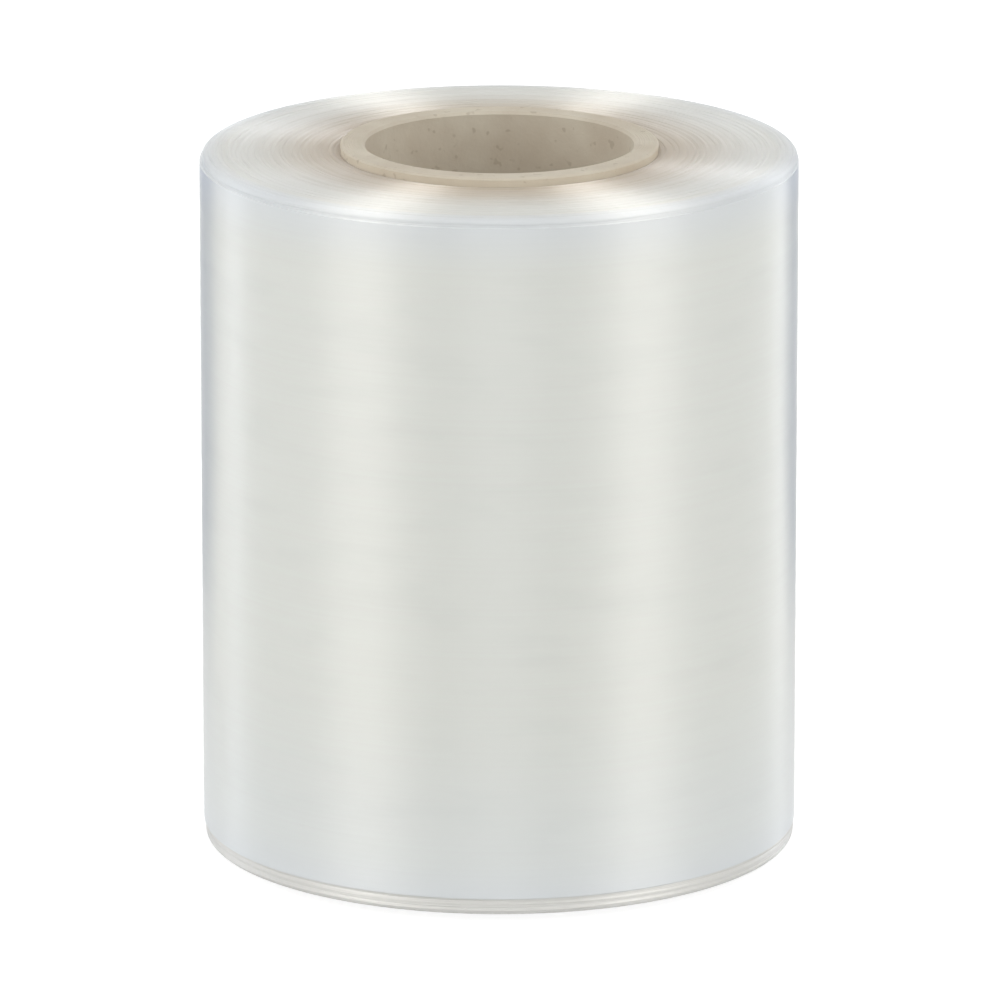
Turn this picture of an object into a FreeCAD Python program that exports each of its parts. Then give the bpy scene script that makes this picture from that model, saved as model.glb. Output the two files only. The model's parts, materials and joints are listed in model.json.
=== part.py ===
"""Hand roll of clear stretch film wound on a spiral cardboard core, standing upright.

Frame: millimetres, +Z up along the roll's axis, origin on the axis in the plane that the core stands on.
Two pieces: the core, a spiral-wound tube of board, and the winding, all turns of the film as one solid.
"""

import FreeCAD, Part
import math
import os

# Core: a tube of board strips, glued in a spiral and cut to length with a rotary knife
CORE_BORE_DIAMETER = 38.0
CORE_WALL = 3.5
CORE_PROJECTION = 1.2  # from the film's mean end to the end of the core, at each end
BORE_EDGE = 0.4  # the knife presses the bore's edge in by this
OUTER_EDGE = 0.3  # and the outer edge
STRIP_THICKNESS = 0.4
STRIP_GAP = 0.8  # between the two edges of the innermost strip, square to them
STRIP_ANGLE_DEG = 51.0  # between the strip's edges and the roll's axis
GAP_START_DEG = 205.0  # where the gap meets the bottom end, from +X

# Film: the winding
FILM_WIDTH = 100.0
WINDING_DIAMETER = 85.0  # over the free end, the thickest place
TURN_BANDS = 17  # rings of turns between two heights of the film's edge
EDGE_WANDER = 0.4  # between the highest and the lowest turn: the film wanders sideways as it is wound
RIM_ROUND = 0.8  # the outermost turns lie loose, and round the rim
RIM_FACETS = 3

# Film: the last turn, with the free end
TAIL_STEP = 0.24  # by which the free end's edge stands up from the turn under it
TAIL_BED = 0.1  # the last turn's least height over the turns under it
TAIL_NECK = 1.8  # pulled tight, the last turn is narrower by this at each end
TAIL_RISE = 0.6  # and lies this much nearer the upper end
TAIL_ANGLE_DEG = 128.0  # where the free end's edge lies, from +X
VOLUTE_CENTRES = 4  # of the arcs that one turn is drawn with

AXIS = FreeCAD.Vector(0, 0, 1)
CENTRE = FreeCAD.Vector(0, 0, 0)
TURN_DEG = 360

core_length = FILM_WIDTH + 2 * CORE_PROJECTION
mid_height = core_length / 2
bore_radius = CORE_BORE_DIAMETER / 2
core_radius = bore_radius + CORE_WALL
tail_radius = WINDING_DIAMETER / 2
turns_radius = tail_radius - TAIL_STEP - TAIL_BED  # of the turns under the last one


def revolved(corners):
    """The solid that a closed outline of (radius, height) corners makes about the roll's axis."""
    spots = [FreeCAD.Vector(radius, 0, height) for radius, height in corners]
    return Part.Face(Part.makePolygon(spots + spots[:1])).revolve(CENTRE, AXIS, TURN_DEG)


def strip_gap():
    """The helical slot between the edges of the innermost strip, one strip deep into the bore's wall.

    Its section is a square-cornered box, one strip deep on each side of the bore's surface, and stands
    square to the helix that it follows. It runs past both ends of the core.
    """
    angle = math.radians(STRIP_ANGLE_DEG)
    lead = 2 * math.pi * bore_radius / math.tan(angle)
    overrun = 2 * STRIP_GAP
    helix = Part.makeHelix(lead, core_length + 2 * overrun, bore_radius)
    outwards = FreeCAD.Vector(STRIP_THICKNESS, 0, 0)
    across = FreeCAD.Vector(0, -math.cos(angle), math.sin(angle)) * (STRIP_GAP / 2)
    start = FreeCAD.Vector(bore_radius, 0, 0)
    corners = [
        start - outwards - across,
        start + outwards - across,
        start + outwards + across,
        start - outwards + across,
    ]
    section = Part.makePolygon(corners + corners[:1])
    slot = Part.Wire(helix.Edges).makePipeShell([section], True, True)
    slot.translate(FreeCAD.Vector(0, 0, -overrun))
    slot.rotate(CENTRE, AXIS, GAP_START_DEG - TURN_DEG * overrun / lead)
    return slot


def make_core():
    """The tube, with its edges pressed in by the knife and the gap of the innermost strip in its bore."""
    tube = revolved([
        (bore_radius, BORE_EDGE),
        (bore_radius + BORE_EDGE, 0),
        (core_radius - OUTER_EDGE, 0),
        (core_radius, OUTER_EDGE),
        (core_radius, core_length - OUTER_EDGE),
        (core_radius - OUTER_EDGE, core_length),
        (bore_radius + BORE_EDGE, core_length),
        (bore_radius, core_length - BORE_EDGE),
    ])
    return tube.cut(strip_gap())


def edge_wander(index):
    """The sideways shift of the turn at one band's edge, spread evenly over EDGE_WANDER in no order."""
    golden_share = (math.sqrt(5) - 1) / 2
    return EDGE_WANDER * ((index * golden_share) % 1 - 0.5)


def make_turns():
    """All turns but the last, revolved from one outline that follows their edges at both ends.

    A turn that stands proud at one end stands back by as much at the other, because the film's width
    is the same all along. The outline closes in a rim that is rounded in short facets.
    """
    flat_radius = turns_radius - RIM_ROUND
    band = (flat_radius - core_radius) / TURN_BANDS
    radii = [core_radius + index * band for index in range(TURN_BANDS + 1)]
    middles = [mid_height + edge_wander(index) for index in range(TURN_BANDS + 1)]
    rim = []
    for index in range(1, RIM_FACETS + 1):
        angle = math.pi / 2 * index / RIM_FACETS
        rim.append((flat_radius + RIM_ROUND * math.sin(angle), RIM_ROUND * (1 - math.cos(angle))))
    top = [(radius, middle + FILM_WIDTH / 2) for radius, middle in zip(radii, middles)]
    bottom = [(radius, middle - FILM_WIDTH / 2) for radius, middle in zip(radii, middles)]
    top += [(radius, top[-1][1] - fall) for radius, fall in rim]
    bottom += [(radius, bottom[-1][1] + rise) for radius, rise in rim]
    return revolved(bottom + top[::-1])


def volute(height):
    """The closed outline of the last turn at this height: tangent arcs that come in by TAIL_STEP in a turn.

    Each arc's centre lies on the line from the last centre to the arcs' meeting point, so that the arcs
    run into each other, and each radius is less than the last by an equal part of the step. The
    outline closes with the straight edge of the free end.
    """
    part_turn = 2 * math.pi / VOLUTE_CENTRES
    part_step = TAIL_STEP / VOLUTE_CENTRES
    radius = tail_radius
    angle = math.radians(TAIL_ANGLE_DEG)
    centre = FreeCAD.Vector(0, 0, height)
    edges = []
    for index in range(VOLUTE_CENTRES):
        spots = [
            centre + FreeCAD.Vector(math.cos(angle + turn), math.sin(angle + turn), 0) * radius
            for turn in (0, part_turn / 2, part_turn)
        ]
        edges.append(Part.Arc(*spots).toShape())
        angle += part_turn
        centre += FreeCAD.Vector(math.cos(angle), math.sin(angle), 0) * part_step
        radius -= part_step
    first = edges[0].Vertexes[0].Point
    edges.append(Part.LineSegment(spots[-1], first).toShape())
    return Part.Wire(edges)


def make_last_turn():
    """The last turn with the free end, as a sleeve round the others that reaches a little into them."""
    low = mid_height - FILM_WIDTH / 2 + TAIL_NECK + TAIL_RISE
    height = FILM_WIDTH - 2 * TAIL_NECK
    sleeve = Part.Face(volute(low)).extrude(AXIS * height)
    inside = Part.makeCylinder(turns_radius - TAIL_STEP, height, FreeCAD.Vector(0, 0, low), AXIS)
    return sleeve.cut(inside)


def make_winding():
    """All the film as one solid."""
    return make_turns().fuse(make_last_turn())


os.makedirs("parts", exist_ok=True)
make_core().exportStep("parts/cardboard_core.step")
make_winding().exportStep("parts/film_winding.step")
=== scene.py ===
"""The looks of a hand roll of stretch film: the wound film with its loose end, and the cardboard core."""

import json
import math

import bmesh
import bpy
import numpy as np
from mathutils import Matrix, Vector


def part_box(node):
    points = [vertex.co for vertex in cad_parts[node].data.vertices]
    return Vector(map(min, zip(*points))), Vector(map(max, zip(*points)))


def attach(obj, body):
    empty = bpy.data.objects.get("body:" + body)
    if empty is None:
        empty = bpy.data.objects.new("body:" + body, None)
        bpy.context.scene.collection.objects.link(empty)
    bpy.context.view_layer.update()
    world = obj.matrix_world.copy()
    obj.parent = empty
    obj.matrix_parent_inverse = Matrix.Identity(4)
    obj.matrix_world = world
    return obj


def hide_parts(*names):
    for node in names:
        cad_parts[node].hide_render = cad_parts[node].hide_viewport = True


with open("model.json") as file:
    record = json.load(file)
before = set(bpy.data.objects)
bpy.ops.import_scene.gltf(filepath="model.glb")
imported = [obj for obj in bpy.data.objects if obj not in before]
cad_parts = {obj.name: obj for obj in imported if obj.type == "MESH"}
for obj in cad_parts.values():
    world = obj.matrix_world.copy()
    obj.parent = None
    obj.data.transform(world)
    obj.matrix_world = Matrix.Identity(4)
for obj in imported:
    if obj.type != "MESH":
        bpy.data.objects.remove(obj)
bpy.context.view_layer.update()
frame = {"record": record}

MM = 0.001

# Places and sizes that the frame gives, in metres
MOUNTS = {mount["name"]: mount for mount in frame["record"]["mounts"]}
BORE_RADIUS = MOUNTS["core_bore"]["dims"]["r_mm"] * MM
CORE_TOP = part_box("cardboard_core")[1]
CORE_RADIUS = CORE_TOP.x
CORE_LENGTH = CORE_TOP.z
MID_HEIGHT = CORE_LENGTH / 2

# The winding, as it is cut and wound
FILM_WIDTH = 100 * MM
TAIL_RADIUS = 42.47 * MM  # over the free end
TAIL_STEP = 0.24 * MM  # the spiral's growth in one turn
TAIL_BED = 0.1 * MM  # the last turn's least height over the turns under it
TAIL_NECK = 1.8 * MM  # the last turn is narrower by this at each end
TAIL_RISE = 0.6 * MM  # and lies this much nearer the upper end
TAIL_ANGLE = math.radians(128)
FREE_EDGE_WAVE = 0.9 * MM  # the free end's edge isn't quite straight
LANE_DEPTH = 0.05 * MM  # of the shallow valleys between thicker lanes of film
TURNS_RADIUS = TAIL_RADIUS - TAIL_STEP - TAIL_BED
TURN_BANDS = 17
EDGE_WANDER = 0.4 * MM
FINE_WANDER = 0.05 * MM  # of single groups of turns
RIM_ROUND = 0.8 * MM
GROOVE_PITCH = 0.45 * MM  # from the top of one group of turns to the groove beside it
END_GROOVE_DEPTH = 0.12 * MM
WALL_GROOVE_DEPTH = 0.004 * MM
FILM_LOW, FILM_HIGH = MID_HEIGHT - FILM_WIDTH / 2, MID_HEIGHT + FILM_WIDTH / 2
TAIL_LOW, TAIL_HIGH = FILM_LOW + TAIL_NECK + TAIL_RISE, FILM_HIGH - TAIL_NECK + TAIL_RISE

# The core, as it is wound and cut
BORE_EDGE = 0.4 * MM
OUTER_EDGE = 0.3 * MM
STRIPS = 8  # that the wall is glued from
STRIP_LINE_DEPTH = 0.05 * MM  # of the line between two cut strips
STRIP_THICKNESS = 0.4 * MM
STRIP_GAP = 0.8 * MM
STRIP_ANGLE = math.radians(51)
GAP_START = math.radians(205)

# How far the staging stands from the roll's middle, in metres
LAMP_DISTANCE = 2.0
CARD_DISTANCE = 0.17

MERGE_DISTANCE = 1e-7
SHARP_ANGLE = math.radians(40)
SRGB_KNEE = 0.04045


def linear(hex_colour):
    """The linear colour, with alpha 1, of an sRGB hex colour."""
    parts = [int(hex_colour[i : i + 2], 16) / 255 for i in (1, 3, 5)]
    return [c / 12.92 if c <= SRGB_KNEE else ((c + 0.055) / 1.055) ** 2.4 for c in parts] + [1.0]


def add(tree, kind, links=None, **settings):
    """Adds a node. settings are its properties. links gives each input a value or an output to read."""
    made = tree.nodes.new(kind)
    for name, value in settings.items():
        setattr(made, name, value)
    for name, value in (links or {}).items():
        if isinstance(value, bpy.types.NodeSocket):
            tree.links.new(value, made.inputs[name])
        else:
            made.inputs[name].default_value = value
    return made


def calculated(tree, operation, *values):
    """The outcome of one operation on numbers."""
    return add(tree, "ShaderNodeMath", dict(enumerate(values)), operation=operation).outputs["Value"]


def ramp(tree, value, start, end, low=0.0, high=1.0, interpolation="LINEAR"):
    """Goes from low to high while the value goes from start to end, and stays level outside them."""
    links = {"Value": value, "From Min": start, "From Max": end, "To Min": low, "To Max": high}
    made = add(tree, "ShaderNodeMapRange", links, interpolation_type=interpolation)
    return made.outputs["Result"]


def mixed(tree, share, first, second):
    """The first colour, with this share of the second in its place."""
    links = {"Factor": share, "A": first, "B": second}
    return add(tree, "ShaderNodeMix", links, data_type="RGBA").outputs["Result"]


def noise(tree, place, detail, scale=1.0, roughness=0.5):
    """Soft random patches, from 0 to 1."""
    links = {"Vector": place, "Scale": scale, "Detail": detail, "Roughness": roughness}
    return add(tree, "ShaderNodeTexNoise", links).outputs["Fac"]


def new_material(name):
    """An empty node material, its tree and its output node."""
    material = bpy.data.materials.new(name)
    material.use_nodes = True
    material.node_tree.nodes.clear()
    return material, material.node_tree, add(material.node_tree, "ShaderNodeOutputMaterial")


def ripples(position, wavelengths, seed):
    """A smooth irregular line from -1 to 1: sines of these wavelengths, each with a phase of its own."""
    phases = np.random.default_rng(seed).uniform(0, 2 * math.pi, len(wavelengths))
    waves = [np.sin(2 * math.pi * position / w + p) for w, p in zip(wavelengths, phases)]
    return sum(waves) / len(waves)


def tube_mesh(name, radius, angle, height, shares=None):
    """A closed tube from a grid: row by row along its outline, column by column round its axis.

    Each point is (radius cos angle, radius sin angle, height). The last row joins the first and the
    last column joins the first. Columns that lie on each other are merged. shares holds one number a
    point for each named attribute.
    """
    rows, columns = radius.shape
    points = np.stack([radius * np.cos(angle), radius * np.sin(angle), height], axis=-1)
    row, column = np.meshgrid(np.arange(rows), np.arange(columns), indexing="ij")
    next_row, next_column = (row + 1) % rows, (column + 1) % columns
    corners = [(row, column), (row, next_column), (next_row, next_column), (next_row, column)]
    quads = np.stack([r * columns + c for r, c in corners], axis=-1).reshape(-1, 4)
    mesh = bpy.data.meshes.new(name)
    mesh.from_pydata(points.reshape(-1, 3).tolist(), [], quads.tolist())
    for label, values in (shares or {}).items():
        attribute = mesh.attributes.new(label, "FLOAT", "POINT")
        values = np.broadcast_to(values, radius.shape).astype(np.float32)
        attribute.data.foreach_set("value", values.ravel())
    surface = bmesh.new()
    surface.from_mesh(mesh)
    bmesh.ops.remove_doubles(surface, verts=surface.verts, dist=MERGE_DISTANCE)
    surface.to_mesh(mesh)
    surface.free()
    mesh.shade_smooth()
    mesh.set_sharp_from_angle(angle=SHARP_ANGLE)
    return mesh


def new_piece(mesh, material, replaced):
    """Puts a mesh in the scene with its material, in place of a CAD node."""
    piece = bpy.data.objects.new(mesh.name, mesh)
    bpy.context.scene.collection.objects.link(piece)
    mesh.materials.append(material)
    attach(piece, "root")
    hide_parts(replaced)
    return piece


def edge_wander(radius):
    """The sideways shift of the film's edge at a radius.

    Straight between the bands' edges, where it takes the shares of a golden-ratio sequence, with finer
    ripples from single groups of turns on top.
    """
    bands_share = 0.8  # of EDGE_WANDER, which leaves room for the ripples
    index = np.arange(TURN_BANDS + 1)
    golden_share = (math.sqrt(5) - 1) / 2
    level = EDGE_WANDER * ((index * golden_share) % 1 - 0.5)
    edges = np.linspace(CORE_RADIUS, TURNS_RADIUS - RIM_ROUND, TURN_BANDS + 1)
    fine = ripples(radius, [0.83 * MM, 1.13 * MM, 1.71 * MM, 2.9 * MM], seed=3)
    return np.interp(radius, edges, level) * bands_share + FINE_WANDER * fine


def film_mesh():
    """The winding: its outline goes out over the lower end, up the wall, and in over the upper end.

    The ends follow edge_wander. Each rim is a quarter round. The wall's radius falls by TAIL_STEP in
    one turn from the free end, with shallow valleys between thicker lanes of film, and steps down to
    the turns under the last one a little way from each end.
    """
    ring_count, rim_count, wall_count, column_count = 92, 8, 120, 240
    core_clearance = 0.01 * MM
    edge_slope = 0.05 * MM  # the height in which the wall steps down
    ring_radius = np.linspace(CORE_RADIUS + core_clearance, TURNS_RADIUS - RIM_ROUND, ring_count)
    shift = edge_wander(ring_radius)
    turn = np.linspace(0, math.pi / 2, rim_count + 1)[1:]
    rim_radius = TURNS_RADIUS - RIM_ROUND * (1 - np.sin(turn))
    rim_fall = RIM_ROUND * (1 - np.cos(turn))
    wall_height = np.linspace(TAIL_LOW + edge_slope, TAIL_HIGH - edge_slope, wall_count)

    lower_end = np.concatenate([FILM_LOW + shift, FILM_LOW + shift[-1] + rim_fall])
    upper_end = np.concatenate([FILM_HIGH + shift, FILM_HIGH + shift[-1] - rim_fall])[::-1]
    end_radius = np.concatenate([ring_radius, rim_radius])
    neck = [TURNS_RADIUS]
    wall_radius = np.full(wall_count, TAIL_RADIUS)
    outline_radius = np.concatenate([end_radius, neck, wall_radius, neck, end_radius[::-1]])
    outline_height = np.concatenate([lower_end, [TAIL_LOW], wall_height, [TAIL_HIGH], upper_end])
    on_wall = (outline_radius == TAIL_RADIUS)[:, None]

    turn_share = np.linspace(0, 1, column_count)[None, :]
    lane_widths = [3.1 * MM, 4.7 * MM, 7.9 * MM, 12.7 * MM, 31 * MM]
    lanes = 0.5 + 0.5 * ripples(outline_height, lane_widths, seed=11)[:, None]
    radius = np.repeat(outline_radius[:, None], column_count, axis=1)
    radius -= on_wall * (TAIL_STEP * turn_share + LANE_DEPTH * lanes)
    wave = ripples(outline_height, [13 * MM, 29 * MM, 71 * MM], seed=5)[:, None]
    free_edge = FREE_EDGE_WAVE / TAIL_RADIUS * wave
    angle = TAIL_ANGLE + on_wall * free_edge + 2 * math.pi * turn_share
    height = np.repeat(outline_height[:, None], column_count, axis=1)
    return tube_mesh("stretch_film", radius, angle, height, {"wall": on_wall.astype(float)})


def core_mesh():
    """The tube: its outline goes out over the lower end, up the outside, in over the top, down the bore.

    The columns turn with the height as the innermost strip's edges do, so the strip's gap is the
    stretch between two columns, where the bore is one strip deeper. The ends show fine lines between
    the cut strips, each with the profile of a bell curve.
    """
    column_count, wall_count, points_a_strip = 200, 60, 4
    line_width = 0.16  # in strips, from the line's middle to a third of its depth
    lead = 2 * math.pi * BORE_RADIUS / math.tan(STRIP_ANGLE)
    wall_height = np.linspace(OUTER_EDGE, CORE_LENGTH - OUTER_EDGE, wall_count)
    bore_height = np.linspace(CORE_LENGTH - BORE_EDGE, BORE_EDGE, wall_count)
    inner, outer = BORE_RADIUS + BORE_EDGE, CORE_RADIUS - OUTER_EDGE
    end_radius = np.linspace(inner, outer, STRIPS * points_a_strip + 1)
    strip_turn = (end_radius - inner) / (outer - inner) * STRIPS
    line = STRIP_LINE_DEPTH * np.exp(-(((strip_turn + 0.5) % 1 - 0.5) / line_width) ** 2)
    line[0] = line[-1] = 0.0
    wall_radius, bore_radius = np.full(wall_count, CORE_RADIUS), np.full(wall_count, BORE_RADIUS)
    outline_radius = np.concatenate([end_radius, wall_radius, end_radius[::-1], bore_radius])
    outline_height = np.concatenate([line, wall_height, (CORE_LENGTH - line)[::-1], bore_height])

    gap_angle = STRIP_GAP / math.cos(STRIP_ANGLE) / BORE_RADIUS
    gap_columns = np.array([0, 0.25, 0.5, 0.75, 1.0]) * gap_angle
    column_angle = np.concatenate([gap_columns, np.linspace(gap_angle, 2 * math.pi, column_count)])
    in_gap = np.arange(len(column_angle)) < len(gap_columns)
    twist = GAP_START + 2 * math.pi * outline_height / lead
    angle = twist[:, None] + column_angle[None, :]
    radius = np.repeat(outline_radius[:, None], len(column_angle), axis=1)
    radius[:, in_gap] = np.maximum(radius[:, in_gap], BORE_RADIUS + STRIP_THICKNESS)
    height = np.repeat(outline_height[:, None], len(column_angle), axis=1)
    return tube_mesh("board_core", radius, angle, height)


def film_material():
    """Wound clear polyethylene film: many clear layers together look milky, with a bright gloss.

    Its surface is drawn out along the film, so fine lines run round the roll. On the ends they are
    the grooves between groups of turns, steep enough to mirror a lamp high at the side.
    """
    material, tree, output = new_material("wound_polyethylene_film")
    place = add(tree, "ShaderNodeTexCoord").outputs["Object"]
    axes = add(tree, "ShaderNodeSeparateXYZ", {"Vector": place}).outputs
    flat = add(tree, "ShaderNodeCombineXYZ", {"X": axes["X"], "Y": axes["Y"]}).outputs["Vector"]
    radius = add(tree, "ShaderNodeVectorMath", {0: flat}, operation="LENGTH").outputs["Value"]
    wall = add(tree, "ShaderNodeAttribute", attribute_name="wall").outputs["Fac"]

    # Fine lines: across the film they change every 0.6 mm, and along it every 40 mm.
    along, aside = 1 / (40 * MM), 1 / (0.6 * MM)
    across = calculated(tree, "ADD", radius, axes["Z"])
    drawn = {
        "X": calculated(tree, "MULTIPLY", axes["X"], along),
        "Y": calculated(tree, "MULTIPLY", axes["Y"], along),
        "Z": calculated(tree, "MULTIPLY", across, aside),
    }
    drawn = add(tree, "ShaderNodeCombineXYZ", drawn).outputs["Vector"]
    lines = noise(tree, drawn, 3.0, roughness=0.6)

    # Grooves: a zigzag across the film, which the fine lines push to and fro.
    push = 2.5
    groove = calculated(tree, "MULTIPLY", across, 1 / GROOVE_PITCH)
    groove = calculated(tree, "MULTIPLY_ADD", lines, push, groove)
    groove = calculated(tree, "PINGPONG", groove, 1.0)
    depth = ramp(tree, wall, 0.0, 1.0, END_GROOVE_DEPTH, WALL_GROOVE_DEPTH)
    bump = add(tree, "ShaderNodeBump", {"Strength": 1.0, "Distance": depth, "Height": groove})

    # The wall's body is milky and a little uneven, with faint creases whose shade is painted in: soft
    # darker patches, about 15 mm along the film and 4 mm across it. Towards the floor it is bluer.
    foot_height = 35 * MM
    tone = ramp(tree, lines, 0.3, 0.7)
    crease_shade_place = {0: place, 1: (1 / (15 * MM), 1 / (15 * MM), 1 / (4 * MM))}
    crease_shade_place = add(tree, "ShaderNodeVectorMath", crease_shade_place, operation="MULTIPLY").outputs["Vector"]
    crease_painted_shade = ramp(tree, noise(tree, crease_shade_place, 3.0), 0.45, 0.75, 0.0, 0.3, "SMOOTHSTEP")
    foot = ramp(tree, axes["Z"], 0.0, foot_height, 0.4, 0.0, "SMOOTHSTEP")
    body = mixed(tree, tone, linear("#d7d8d3"), linear("#d8dbd5"))
    # Painted shade: the creases' darker colour.
    body = mixed(tree, crease_painted_shade, body, linear("#cdd0cb"))
    body = mixed(tree, foot, body, linear("#cfd6de"))
    body = mixed(tree, wall, linear("#d2d2cd"), body)

    # Round the rims the colour is painted bluer, a painted reflection of the bluish surroundings that the
    # clear outer film shows there, and below the last turn's foot the painted tint is warmer.
    rim_height, rim_start, rim_end = 9 * MM, 39 * MM, 41.5 * MM
    half_width = FILM_WIDTH / 2
    from_middle = calculated(tree, "SUBTRACT", axes["Z"], MID_HEIGHT)
    from_middle = calculated(tree, "ABSOLUTE", from_middle)
    near_end = ramp(tree, from_middle, half_width - rim_height, half_width, 0.0, 0.8, "SMOOTHSTEP")
    near_rim = calculated(tree, "MULTIPLY", near_end, ramp(tree, radius, rim_start, rim_end))
    lowest = ramp(tree, axes["Z"], TAIL_LOW - 0.2 * MM, TAIL_LOW, 1.0, 0.0)
    rim_painted_reflection = mixed(tree, lowest, linear("#d1d6db"), linear("#dad9d6"))
    # Painted reflection: the bluish tint round the rims.
    body = mixed(tree, near_rim, body, rim_painted_reflection)

    # The core's board shows through the innermost turns.
    board_reach = 38 * MM
    near_core = ramp(tree, radius, CORE_RADIUS, board_reach, 1.0, 0.0, "SMOOTHSTEP")
    body = mixed(tree, near_core, body, linear("#a89579"))

    # The ends, made of the film's edges, are rougher than the wall.
    end_roughness, wall_roughness = 0.6, 0.36
    roughness = ramp(tree, wall, 0.0, 1.0, end_roughness, wall_roughness)
    tangent = add(tree, "ShaderNodeTangent", direction_type="RADIAL", axis="Z").outputs["Tangent"]
    shader = add(
        tree,
        "ShaderNodeBsdfPrincipled",
        {
            "Base Color": body,
            "Roughness": roughness,
            "IOR": 1.8,
            "Specular IOR Level": 1.0,
            "Subsurface Weight": 0.25,
            "Subsurface Radius": (1.0, 1.0, 1.0),
            "Subsurface Scale": 4 * MM,
            "Anisotropic": 0.92,
            "Anisotropic Rotation": 0.25,
            "Tangent": tangent,
            "Normal": bump.outputs["Normal"],
        },
    )
    tree.links.new(shader.outputs["BSDF"], output.inputs["Surface"])
    return material


def board_material():
    """Grey-brown recycled paperboard, wound and glued: matt, with stray specks of darker pulp."""
    material, tree, output = new_material("recycled_paperboard")
    place = add(tree, "ShaderNodeTexCoord").outputs["Object"]
    clouds = noise(tree, place, 4.0, scale=1 / (9 * MM))
    fibres = noise(tree, place, 3.0, scale=1 / (0.5 * MM))
    specks = noise(tree, place, 1.0, scale=1 / (1.4 * MM))
    specks = ramp(tree, specks, 0.66, 0.74, 0.0, 0.35, "SMOOTHSTEP")
    body = mixed(tree, ramp(tree, clouds, 0.35, 0.65), linear("#c8bcaa"), linear("#d5ccbb"))
    body = mixed(tree, specks, body, linear("#9b8a72"))

    fibre_height = 0.05 * MM
    bump = add(tree, "ShaderNodeBump", {"Strength": 1.0, "Distance": fibre_height, "Height": fibres})
    shader = add(
        tree,
        "ShaderNodeBsdfPrincipled",
        {"Base Color": body, "Roughness": 0.85, "IOR": 1.45, "Normal": bump.outputs["Normal"]},
    )
    tree.links.new(shader.outputs["BSDF"], output.inputs["Surface"])
    return material


def seen_directly(tree):
    """1 for what the eye, a gloss or a glass sees, and 0 for light that a matt surface gathers."""
    path = add(tree, "ShaderNodeLightPath").outputs
    seen = calculated(tree, "MAXIMUM", path["Is Camera Ray"], path["Is Glossy Ray"])
    return calculated(tree, "MAXIMUM", seen, path["Is Transmission Ray"])


def make_floor():
    """A plain white floor.

    Near the roll it glows a little less than white and the light that falls on it adds the rest, so it
    keeps the roll's shadow. Farther out it glows white, and inside the core's bore it glows dimly: a
    painted shadow of the bore. For the light that a matt surface gathers it doesn't glow, and only
    sends back what falls on it.
    """
    half = 20.0
    shadow_start, shadow_end, near_glow = 60 * MM, 250 * MM, 0.88
    bore_clear, bore_glow = 34 * MM, 0.1
    gathered_white, seen_white = 0.85, 0.3
    corners = [(-half, -half, 0), (half, -half, 0), (half, half, 0), (-half, half, 0)]
    mesh = bpy.data.meshes.new("floor")
    mesh.from_pydata(corners, [], [(0, 1, 2, 3)])
    material, tree, output = new_material("white_floor")
    place = add(tree, "ShaderNodeTexCoord").outputs["Object"]
    far = add(tree, "ShaderNodeVectorMath", {0: place}, operation="LENGTH").outputs["Value"]
    share = ramp(tree, far, shadow_start, shadow_end, near_glow, 1.0, "SMOOTHSTEP")
    # Painted shadow: inside the bore the floor's glow is turned down.
    bore_painted_shadow = ramp(tree, far, BORE_RADIUS, bore_clear, bore_glow, 1.0)
    share = calculated(tree, "MULTIPLY", share, bore_painted_shadow)
    seen = seen_directly(tree)
    lit = ramp(tree, seen, 0.0, 1.0, gathered_white, seen_white)
    glow = ramp(tree, seen, 0.0, 1.0, 0.0, share)
    diffuse = add(tree, "ShaderNodeBsdfDiffuse", {"Color": lit}).outputs["BSDF"]
    white = add(tree, "ShaderNodeEmission", {"Strength": glow}).outputs["Emission"]
    both = add(tree, "ShaderNodeAddShader", {0: diffuse, 1: white}).outputs["Shader"]
    tree.links.new(both, output.inputs["Surface"])
    floor = bpy.data.objects.new("floor", mesh)
    mesh.materials.append(material)
    bpy.context.scene.collection.objects.link(floor)


def make_world():
    """An even pale room, white where it is seen."""
    world = bpy.data.worlds.new("room")
    bpy.context.scene.world = world
    world.use_nodes = True
    tree = world.node_tree
    tree.nodes.clear()
    light, white = (
        add(tree, "ShaderNodeBackground", {"Color": linear(colour), "Strength": strength})
        for colour, strength in (("#f6f6f1", 0.4), ("#ffffff", 1.0))
    )
    links = {
        "Fac": seen_directly(tree),
        1: light.outputs["Background"],
        2: white.outputs["Background"],
    }
    room = add(tree, "ShaderNodeMixShader", links).outputs["Shader"]
    output = add(tree, "ShaderNodeOutputWorld")
    tree.links.new(room, output.inputs["Surface"])


def facing_roll(thing, azimuths, elevations, distance):
    """Places a thing round the roll's middle, turned to face it, and gives its width and height there.

    azimuths and elevations are the two limits that it spans, in degrees. Azimuth 0 is the
    photograph's front and azimuth 90 its right.
    """
    azimuth, elevation = (math.radians(sum(limits) / 2) for limits in (azimuths, elevations))
    half_wide, half_high = (math.radians(abs(b - a) / 2) for a, b in (azimuths, elevations))
    thing.location = (
        distance * math.sin(azimuth) * math.cos(elevation),
        -distance * math.cos(azimuth) * math.cos(elevation),
        MID_HEIGHT + distance * math.sin(elevation),
    )
    thing.rotation_euler = (math.pi / 2 - elevation, 0, azimuth)
    bpy.context.scene.collection.objects.link(thing)
    width = 2 * distance * math.tan(half_wide) * math.cos(elevation)
    return width, 2 * distance * math.tan(half_high)


def make_softbox(name, azimuths, elevations, radiance, colour="#ffffff", gloss=True):
    """A soft box that spans these angles. It lights either the gloss or the matt body of a surface."""
    light = bpy.data.lights.new(name, "AREA")
    light.shape = "RECTANGLE"
    lamp = bpy.data.objects.new(name, light)
    light.size, light.size_y = facing_roll(lamp, azimuths, elevations, LAMP_DISTANCE)
    light.energy = math.pi * light.size * light.size_y * radiance
    light.color = linear(colour)[:3]
    lamp.visible_camera = False
    lamp.visible_diffuse, lamp.visible_glossy = not gloss, gloss


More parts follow.
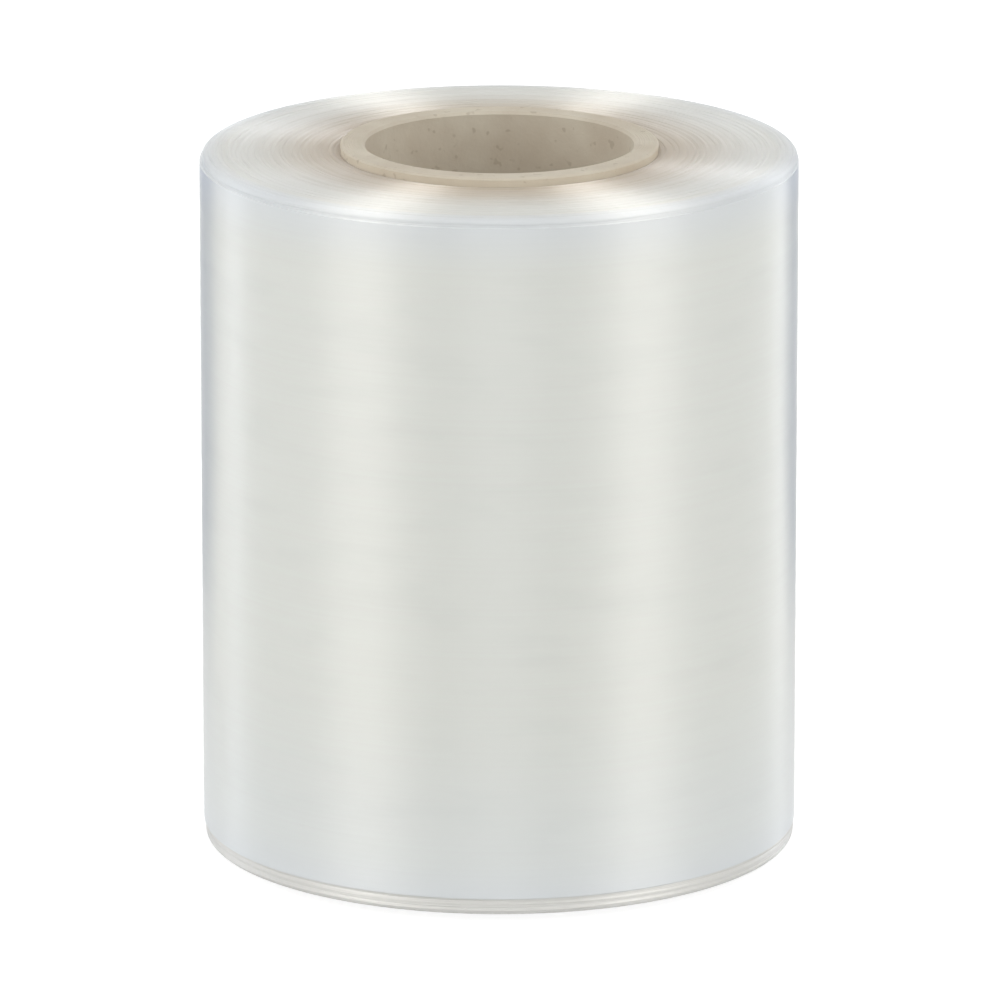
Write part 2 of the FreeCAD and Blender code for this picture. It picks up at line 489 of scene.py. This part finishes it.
def make_card(name, azimuths, elevations):
    """A blue-grey card out of sight, close behind the roll, that its side mirrors as a thin dark line."""
    material, tree, output = new_material("grey_card")
    links = {"Color": linear("#8d99b8"), "Strength": 1.0}
    grey = add(tree, "ShaderNodeEmission", links).outputs["Emission"]
    tree.links.new(grey, output.inputs["Surface"])
    mesh = bpy.data.meshes.new(name)
    card = bpy.data.objects.new(name, mesh)
    x, y = (size / 2 for size in facing_roll(card, azimuths, elevations, CARD_DISTANCE))
    mesh.from_pydata([(-x, -y, 0), (x, -y, 0), (x, y, 0), (-x, y, 0)], [], [(0, 1, 2, 3)])
    mesh.materials.append(material)
    card.visible_camera = card.visible_diffuse = card.visible_shadow = False


def make_camera():
    """The photograph's view: from the front and a little above, through a long lens."""
    elevation = math.radians(15.06)
    distance = 1.5
    aim = Vector((0.07 * MM, 0, MID_HEIGHT - 1.18 * MM))
    camera = bpy.data.cameras.new("camera")
    camera.sensor_fit = "HORIZONTAL"
    camera.sensor_width = 36
    camera.lens = 379.0
    camera.clip_start = 0.01
    view = bpy.data.objects.new("camera", camera)
    view.location = aim + distance * Vector((0, -math.cos(elevation), math.sin(elevation)))
    view.rotation_euler = (math.pi / 2 - elevation, 0, 0)
    bpy.context.scene.collection.objects.link(view)
    bpy.context.scene.camera = view


new_piece(film_mesh(), film_material(), "film_winding")
new_piece(core_mesh(), board_material(), "cardboard_core")

make_floor()
make_world()

# The windows give the wall its two light bands and the upper end its light patches.
make_softbox("left_window", (-81, -46), (31, 63), 14.7, "#fffbf4")
make_softbox("right_window", (50, 84), (31, 63), 16.2, "#fffbf4")
make_softbox("front_window", (-15, 15), (30, 62), 3.8)
make_softbox("left_low_window", (-150, -134), (14, 28), 4.0)
make_softbox("right_low_window", (133, 149), (14, 28), 7.0)

# The strips give the thin light lines near the wall's sides, and the wall's back a soft one.
make_softbox("left_strip", (-127, -113), (0, 60), 3.9, "#eef3ff")
make_softbox("right_strip", (130, 139), (0, 60), 5.3, "#eef3ff")
make_softbox("back_strip", (166, 194), (2, 40), 0.7)

# The fills light the matt bodies.
make_softbox("left_fill", (-95, -45), (5, 50), 1.84, gloss=False)
make_softbox("right_fill", (45, 95), (5, 50), 1.72, gloss=False)
make_softbox("front_fill", (-20, 20), (10, 50), 1.0, gloss=False)
make_softbox("back_fill", (145, 215), (2, 22), 1.5, gloss=False)

make_card("left_card", (-152, -128), (-45, 25))
make_card("right_card", (131, 152), (-45, 25))

make_camera()
bpy.context.scene.view_settings.view_transform = "Standard"
